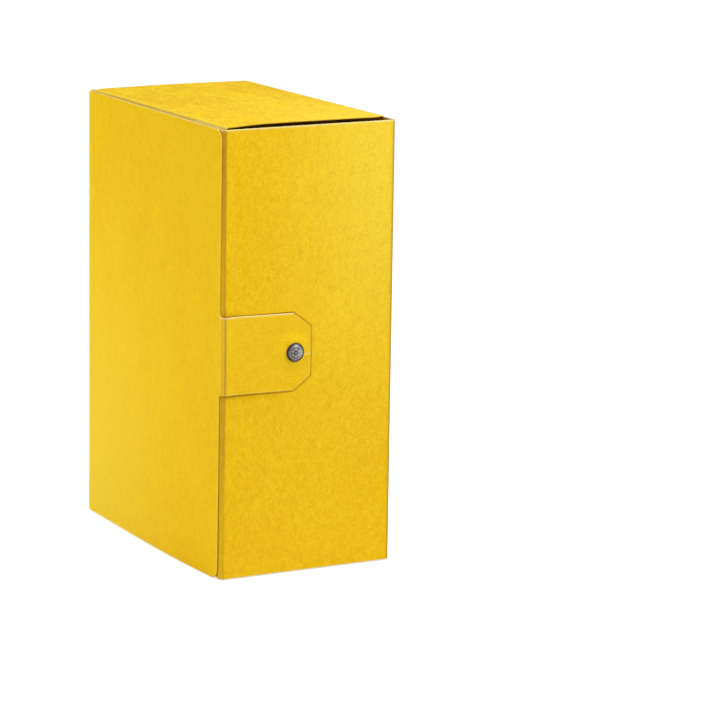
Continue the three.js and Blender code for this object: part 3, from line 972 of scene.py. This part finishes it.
def lidHeights():
    # Levels up the lid, close together at its corners and at the root of the tongue.
    turns = [1 - math.cos(math.radians(angle)) for angle in range(0, 91, 9)]
    corner, fillet = lid["corner"], lid["rootFillet"]
    marks = []
    for level, reach in ((lowEdge, corner), (highEdge, -corner), (rootLow, -fillet), (rootHigh, fillet)):
        marks += [level + reach * t for t in turns]
    fixed = sorted(set(round(z, 4) for z in marks))
    heights = []
    for a, b in zip(fixed, fixed[1:]):
        count = max(1, math.ceil((b - a) / card["step"]))
        heights += [a + (b - a) * k / count for k in range(count)]
    return heights + [fixed[-1]]


lidUnevenness = slowWarp(seed=9, size=110, amount=0.5)


def lidSag(at):
    return lid["sag"] * ramp(at.z, *lid["sagBand"])


def lidWarp(at):
    share = clamp(lidShare(at))
    drop = (1 - at.z / height) ** lid["bowPower"]
    swell = math.sin(math.pi * share ** lid["bowShift"]) * (lid["swell"] + lid["bow"] * drop)
    uneven = between(share, 0, 1) * lidUnevenness(at)
    return lidOut * (swell + uneven) - alongZ * lidSag(at) * (1 - share)


def foldSag(at):
    # The fold strip starts level with the spine and ends level with the lid.
    share = (tray["lidFold"] + lidHinge.x - at.x) / tray["lidFold"]
    return -alongZ * lidSag(at) * smooth(share)


def lidPaintedLight(at):
    # Painted light: paler towards the spine and the lower end.
    upward = smooth(lid["litTop"] - at.z / height)
    return lid["paintedLight"] * upward * (1 - smooth(lidShare(at) / lid["litReach"]))


def makeLid():
    lines = []
    for z in lidHeights():
        lines.append((lidStart + alongZ * z, lidAlong, lidOut, tray["lidFold"], lidReach(z)))
    return cardSheet("lid_panel", lines, lid["columns"], lidMaterial, paintedLight=lidPaintedLight, warp=lidWarp)


def makeLidFold():
    # The crease that joins spine and lid.
    reach = tray["lidFold"]
    onLid = lidStart + lidAlong * reach
    corners = [
        (lidHinge.x + reach, lidHinge.y),
        (lidHinge.x, lidHinge.y, card["softRadius"]),
        (onLid.x, onLid.y),
    ]
    lines = [uprightLine(s, lowEdge, highEdge) for s in foldedPath(corners, cardOnRight=False)]
    creases = [uprightCrease(lidHinge.x, lidHinge.y, lid["crease"])]
    piece = cardSheet(
        "lid_fold", lines, tray["wrapColumns"], lidMaterial, creases,
        paintedLight=lidPaintedLight, warp=foldSag, joined=(True, True),
    )
    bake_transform(piece)


lidPiece = makeLid()
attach(lidPiece, "lid")
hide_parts("card_lid")
makeLidFold()
print("lid made")


# Tongue: the strip between its two creases and the panel over the front wall.

tongue = {
    "corner": 3.0,
    "fold": 1.5,  # the fold strip at the lid ends this far after the hinge line
    "foldRadius": 0.6,
    "skew": 0.019,  # rise towards the lid for each millimetre from the press stud
    "dip": 2.4,  # its edges come this much closer to the front wall
    "dipStart": 7.0,  # from this far off the middle of the press stud
    "dipRun": 9.5,
    "dipRoot": 12.0,
    "frontCrease": (0.85, 1.0),  # width and strength
    "hingeCrease": (0.7, 0.25),
    "stripHighlight": (0.6, 0.25),
    "columns": 26,
}

tongueStrip = Vector((1, -1, 0)).normalized()  # from the hinge crease to the crease at the front


def tongueInset(x):
    # The chamfered end, seen from the front: how far each long edge draws in at x.
    fromTip = tongueHigh.x - x
    length, width = chamfer["length"], chamfer["width"]
    soft = tongue["corner"] / 2
    inset = max(0.0, width * (1 - fromTip / length))
    if fromTip < soft:
        inset += (soft - fromTip) ** 2 / soft
    fromCut = abs(length - fromTip)
    if fromCut < soft:
        inset += (soft - fromCut) ** 2 / (4 * soft) * width / length
    return inset


def tongueWarp(at):
    away = Vector((at.x - studSpot.x, 0, at.z - studSpot.z)).length
    dip = tongue["dip"] * ramp(away, tongue["dipStart"], tongue["dipRun"])
    dip *= ramp(at.x - tongueHinge.x, strip, tongue["dipRoot"])
    return alongY * dip + alongZ * tongue["skew"] * (studSpot.x - at.x)


def tongueSheet(name, corners, creases, highlightLines, joined):
    lines = []
    for sample in foldedPath(corners, cardOnRight=False):
        inset = tongueInset(sample[0])
        lines.append(uprightLine(sample, tongueLow.z + inset, tongueHigh.z - inset))
    return cardSheet(
        name, lines, tongue["columns"], tongueMaterial, creases, highlightLines, warp=tongueWarp, joined=joined
    )


def makeTongue():
    first = tongueHinge + tongueStrip * tongue["fold"]
    frontX, frontY = tongueHinge.x + strip, tongueLow.y
    corners = [
        (first.x, first.y),
        (frontX, frontY, card["softRadius"]),
        (tongueHigh.x - chamfer["length"], frontY),
        (tongueHigh.x, frontY),
    ]
    stripMiddle = tongueHinge + tongueStrip * strip * 0.6
    creases = [uprightCrease(frontX - 0.4, frontY + 0.2, tongue["frontCrease"], rootLow, rootHigh)]
    # A painted highlight along the middle of the strip
    highlightLines = [uprightCrease(stripMiddle.x, stripMiddle.y, tongue["stripHighlight"], rootLow, rootHigh)]
    return tongueSheet("tongue_panel", corners, creases, highlightLines, (True, False))


def makeTongueFold():
    # The crease that joins lid and tongue.
    before = tongueHinge - lidAlong * lid["rootFold"]
    after = tongueHinge + tongueStrip * tongue["fold"]
    corners = [
        (before.x, before.y),
        (tongueHinge.x, tongueHinge.y, tongue["foldRadius"]),
        (after.x, after.y),
    ]
    creases = [uprightCrease(tongueHinge.x, tongueHinge.y, tongue["hingeCrease"], rootLow, rootHigh)]
    piece = tongueSheet("tongue_fold", corners, creases, (), (True, True))
    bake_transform(piece)


tonguePiece = makeTongue()
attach(tonguePiece, "tongue")
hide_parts("card_tongue")
makeTongueFold()
print("tongue made")


# Press studs: turned pieces on the axis of each CAD stud, and an open ring of spring wire.

stud = {
    "capRadius": 7.5,
    "capHeight": 2.0,
    "rim": 0.5,  # radius of the rolled rim
    "ringRadius": 4.9,
    "ringRaise": 0.16,
    "petals": 6,
    "petalRadius": 2.7,
    "petalRaise": 0.2,
    "sideHighlight": 0.6,  # one side of the dome is drawn brighter: a painted highlight
    "sideHighlightAngle": -40.0,
    "rimWear": 0.25,
    "reliefWear": 1.7,
    "cardGap": 3.7,  # between the two cards that the stud joins
    "seat": 0.1,
    "sheet": 0.5,  # thickness of the pressed metal
    "shank": 2.1,
    "socketRadius": 6.3,
    "socketHeight": 2.7,
    "socketCup": 4.5,
    "headRadius": 3.2,
    "neckRadius": 2.7,
    "studFlange": 6.0,
    "eyeletFlange": 5.3,
    "wireRadius": 0.3,
    "wireOpening": math.pi / 5,
    "wireSteps": 60,
    "wireSides": 12,
    "segments": 72,
    # Radius, width and strength of the rings of painted shade in the hollows
    "capShadeRings": [(7.2, 0.85, 1.0), (6.4, 0.4, 0.8), (4.2, 0.35, 0.7), (1.4, 0.5, 0.8)],
    "boreShadeRing": [(0.8, 1.2, 0.8)],
}

# Heights on the axis of a press stud, from the outside of the outer card
cardBack = -card["thickness"]
innerCard = cardBack - stud["cardGap"]
socketTop = cardBack - stud["seat"]
socketWeb = socketTop - stud["sheet"]
socketMouth = socketTop - stud["socketHeight"]
socketLip = socketMouth + 0.6
flareTop = socketWeb - stud["seat"]
headTop = flareTop - stud["sheet"]
flangeTop = innerCard + stud["seat"] + stud["sheet"]


def softened(points, size):
    # Rounds the inner corners of an open profile with short curves.
    rounded = [points[0]]
    for before, corner, after in zip(points, points[1:], points[2:]):
        p, a, b = Vector(corner), Vector(before), Vector(after)
        toA, toB = a - p, b - p
        start = p + toA.normalized() * min(size, 0.45 * toA.length)
        end = p + toB.normalized() * min(size, 0.45 * toB.length)
        for t in (0, 1 / 3, 2 / 3, 1):
            rounded.append(tuple(start * (1 - t) ** 2 + p * 2 * t * (1 - t) + end * t * t))
    rounded.append(points[-1])
    return rounded


def arc(centreR, centreH, radius, fromDegrees, toDegrees, steps):
    points = []
    for k in range(steps + 1):
        a = math.radians(fromDegrees + (toDegrees - fromDegrees) * k / steps)
        points.append((centreR + radius * math.cos(a), centreH + radius * math.sin(a)))
    return points


def spokeAt(outward, angle):
    return alongZ * math.cos(angle) + outward.cross(alongZ) * math.sin(angle)


def turnedPiece(name, profile, origin, outward, material, slotName, shadeRings=(), relief=None):
    # The profile is (radius, height) along outward; the rings of painted shade in the hollows are
    # (radius, width, strength).
    segments = stud["segments"]
    topRadius = max(r for r, h in profile)
    verts, faces, edgeMask, darkMask = [], [], [], []
    for r, h in profile:
        # Rings of painted shade in the hollows
        dark = max([bell(r - c, w) * strength for c, w, strength in shadeRings] + [0.0])
        for k in range(segments):
            angle = 2 * math.pi * k / segments
            lift = relief(r, h, angle) if relief else 0.0
            at = origin + outward * (h + lift) + spokeAt(outward, angle) * max(r, 0.01)
            verts.append(at * mm)
            # The rim and the raised relief are drawn brighter
            maskAmount = stud["rimWear"] * bell(topRadius - r - 0.9, 0.3) + stud["reliefWear"] * lift
            # A painted highlight on one side of the dome
            if relief:
                maskAmount += stud["sideHighlight"] * highlightedSide(r, angle)
            edgeMask.append(min(1.0, maskAmount))
            darkMask.append(dark)
    for i in range(0, len(verts) - segments, segments):
        for k in range(segments):
            n = (k + 1) % segments
            faces.append([i + k, i + segments + k, i + segments + n, i + n])
    if profile[0] != profile[-1]:
        faces.append(list(range(segments)))
        faces.append(list(range(len(verts) - 1, len(verts) - segments - 1, -1)))
    piece = meshPiece(name, verts, faces, {"edge": edgeMask, "crease": darkMask}, [material])
    return piece


def highlightedSide(r, angle):
    # Painted highlight: strongest on one side of the dome and towards its edge
    facing = math.cos(angle - math.radians(stud["sideHighlightAngle"]))
    return smooth(0.5 + 0.5 * facing) * smooth(r / 4)


def capProfile():
    radius, top, rim = stud["capRadius"], stud["capHeight"], stud["rim"]
    inner = radius - 2 * rim
    brim = 2 * rim - 0.1
    dome = []
    steps = 30
    for k in range(steps + 1):
        r = inner * k / steps
        dome.append((r, brim + (top - brim - stud["petalRaise"]) * (1 - (r / inner) ** 2) ** 0.8))
    shank = stud["shank"]
    under = [(radius - 1.3, 0.12), (shank, 0.12), (shank, flareTop)]
    under += [(3.0, flareTop), (2.9, flareTop - 0.35), (0.0, flareTop - 0.35)]
    return dome + arc(radius - rim, rim + 0.1, rim, 120, -60, 12) + under


def capRelief(r, h, angle):
    # A raised ring and a plain rosette of petals.
    if h < 0.5:
        return 0.0
    ring = stud["ringRaise"] * bell(r - stud["ringRadius"], 0.3)
    wave = 0.5 + 0.5 * math.cos(stud["petals"] * angle)
    petal = math.exp(-(((r - stud["petalRadius"]) / 1.1) ** 4)) * wave
    return ring + stud["petalRaise"] * (petal + math.exp(-((r / 0.8) ** 4)))


def socketProfile():
    radius, mouth = stud["socketRadius"], stud["headRadius"] + 0.3
    hole, cup = stud["shank"] + 0.2, stud["socketCup"]
    start = ((hole + cup) / 2, socketTop)
    loop = [
        start, (radius, socketTop), (radius, socketMouth), (mouth, socketMouth), (mouth, socketLip),
        (cup, socketLip), (cup, socketWeb), (hole, socketWeb), (hole, socketTop), start,
    ]
    return softened(loop, 0.25)


def studProfile():
    flange, sheet = stud["studFlange"], stud["sheet"]
    head, neck = stud["headRadius"], stud["neckRadius"]
    bore = stud["shank"] + stud["seat"]
    outline = [
        (0.0, headTop), (head, headTop), (head, headTop - sheet), (neck, socketLip), (neck, flangeTop),
        (flange, flangeTop), (flange, flangeTop - sheet), (bore, flangeTop - sheet),
        (bore, headTop - sheet), (0.0, headTop - sheet),
    ]
    return softened(outline, 0.3)


def eyeletProfile():
    flange, shank, top = stud["eyeletFlange"], stud["shank"], headTop - 0.6
    face = innerCard - card["thickness"] - stud["seat"]
    back = face - stud["sheet"]
    outline = [
        (0.0, top), (shank, top), (shank, face), (flange, face),
        (flange, back), (2.4, back), (1.7, face - 0.1), (0.0, face - 0.1),
    ]
    return softened(outline, 0.3)


def makeSpring(name, origin, outward):
    # An open ring of wire on the lip of the socket, with rounded ends.
    wire, opening = stud["wireRadius"], stud["wireOpening"]
    steps, sides = stud["wireSteps"], stud["wireSides"]
    ring = stud["headRadius"] + 0.15 + wire
    level = socketLip + stud["seat"] + wire
    verts, faces = [], []
    shares = [-0.006, -0.004] + [k / steps for k in range(steps + 1)] + [1.004, 1.006]
    sizes = [0.3, 0.8] + [1.0] * (steps + 1) + [0.8, 0.3]
    for share, size in zip(shares, sizes):
        spoke = spokeAt(outward, opening / 2 + (2 * math.pi - opening) * share)
        for k in range(sides):
            turn = 2 * math.pi * k / sides
            r = ring + wire * size * math.cos(turn)
            verts.append((origin + outward * (level + wire * size * math.sin(turn)) + spoke * r) * mm)
    for i in range(0, len(verts) - sides, sides):
        for k in range(sides):
            n = (k + 1) % sides
            faces.append([i + k, i + n, i + sides + n, i + sides + k])
    faces.append(list(range(sides - 1, -1, -1)))
    faces.append(list(range(len(verts) - sides, len(verts))))
    masks = {"edge": [0.3] * len(verts), "crease": [0.0] * len(verts)}
    piece = meshPiece(name, verts, faces, masks, [wireMaterial])
    return piece


def makePressStud(prefix, outerBody, innerBody):
    capLow, capHigh = boxOf(prefix + "_cap")
    size = capHigh - capLow
    outward = -alongY if size.y < size.x else -alongX
    origin = (capLow + capHigh) / 2
    if outward.y:
        origin.y = capLow.y + stud["capHeight"]
    else:
        origin.x = capLow.x + stud["capHeight"]
    metal = (nickelMaterial, "stud_metal")
    capLook, boreLook = (stud["capShadeRings"], capRelief), (stud["boreShadeRing"],)
    pieces = {
        "cap": turnedPiece(prefix + "_dome", capProfile(), origin, outward, *metal, *capLook),
        "socket": turnedPiece(prefix + "_ring", socketProfile(), origin, outward, *metal),
        "spring": makeSpring(prefix + "_wire", origin, outward),
        "stud": turnedPiece(prefix + "_post", studProfile(), origin, outward, *metal),
        "eyelet": turnedPiece(prefix + "_rivet", eyeletProfile(), origin, outward, *metal, *boreLook),
    }
    for part, piece in pieces.items():
        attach(piece, innerBody if part in ("stud", "eyelet") else outerBody)
        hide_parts(f"{prefix}_{part}")


makePressStud("tongue_snap", "tongue", "tray")
makePressStud("upper_flap_snap", "tray", "tray")
makePressStud("lower_flap_snap", "tray", "tray")
print("press studs made")


# Floor, light and camera

studio = {
    "floorColour": (0.86, 0.86, 0.86, 1.0),
    "floorReach": 30.0,
    "floorLevel": -0.0002,
    "floorRoughness": 0.9,
    "floorGloss": 0.1,
    "floorGlow": 0.645,  # only the camera and reflections see it
    "worldColour": (1.0, 1.0, 1.0, 1.0),
    "worldStrength": 0.42,
}

# Place, size and power of each lamp
lamps = {
    "keyLamp": ((0.72, -0.95, 1.05), 0.6, 8.0),
    "lidLamp": ((-0.70, 0.45, 0.01), 0.4, 3.8),  # half of it is below the floor
    "rimLamp": ((-0.95, -0.50, 0.70), 0.5, 2.2),
    "topLamp": ((0.15, -0.3, 1.5), 0.7, 7.5),
}


def makeFloor():
    mesh = bpy.data.meshes.new("floor")
    reach = studio["floorReach"]
    corners = [(-reach, -reach, 0), (reach, -reach, 0), (reach, reach, 0), (-reach, reach, 0)]
    mesh.from_pydata(corners, [], [(0, 1, 2, 3)])
    floor = bpy.data.objects.new("floor", mesh)
    scene.collection.objects.link(floor)
    floor.location.z = studio["floorLevel"]
    material, tree, shader, place = startMaterial("paleFloor")
    path = tree.nodes.new("ShaderNodeLightPath").outputs
    seen = mathNode(tree, "MAXIMUM", path["Is Camera Ray"], path["Is Glossy Ray"])
    glow = times(tree, seen, studio["floorGlow"])
    fill(tree, shader, {"Base Color": studio["floorColour"], "Roughness": studio["floorRoughness"]})
    fill(tree, shader, {"Specular IOR Level": studio["floorGloss"]})
    fill(tree, shader, {"Emission Color": (1, 1, 1, 1), "Emission Strength": glow})
    mesh.materials.append(material)


def makeWorld():
    world = bpy.data.worlds.new("studio")
    scene.world = world
    world.use_nodes = True
    tree = world.node_tree
    path = tree.nodes.new("ShaderNodeLightPath").outputs
    seen = mathNode(tree, "MAXIMUM", path["Is Camera Ray"], path["Is Transmission Ray"])
    strength = mapRange(tree, seen, 0.0, 1.0, studio["worldStrength"], 1.0)
    fill(tree, tree.nodes["Background"], {"Color": studio["worldColour"], "Strength": strength})


def makeLamp(name, location, size, power):
    data = bpy.data.lights.new(name, "AREA")
    data.shape = "SQUARE"
    data.size = size
    data.energy = power
    lamp = bpy.data.objects.new(name, data)
    lamp.visible_camera = False
    scene.collection.objects.link(lamp)
    lamp.location = location
    middle = (trayLow + trayHigh) / 2 * mm
    lamp.rotation_euler = (middle - Vector(location)).to_track_quat("-Z", "Y").to_euler()


makeFloor()
makeWorld()
for lampName, look in lamps.items():
    makeLamp(lampName, *look)

cameraSpot = {
    "azimuth": -29.487,
    "elevation": 11.608,
    "roll": -0.882,
    "lens": 185.83,
    "sensor": 36.0,
    "location": (-1.34098, -2.57577, 0.74205),
}


def makeCamera():
    data = bpy.data.cameras.new("camera")
    data.lens = cameraSpot["lens"]
    data.sensor_width = cameraSpot["sensor"]
    data.clip_end = 100.0
    camera = bpy.data.objects.new("camera", data)
    scene.collection.objects.link(camera)
    a, e = math.radians(cameraSpot["azimuth"]), math.radians(cameraSpot["elevation"])
    back = Vector((math.sin(a) * math.cos(e), -math.cos(a) * math.cos(e), math.sin(e)))
    right = Vector((math.cos(a), math.sin(a), 0.0))
    turn = Matrix((right, back.cross(right), back)).transposed()
    roll = Matrix.Rotation(math.radians(cameraSpot["roll"]), 3, "Z")
    camera.matrix_world = Matrix.Translation(cameraSpot["location"]) @ (turn @ roll.inverted()).to_4x4()
    scene.camera = camera


makeCamera()
scene.view_settings.view_transform = "Standard"
print("studio made")
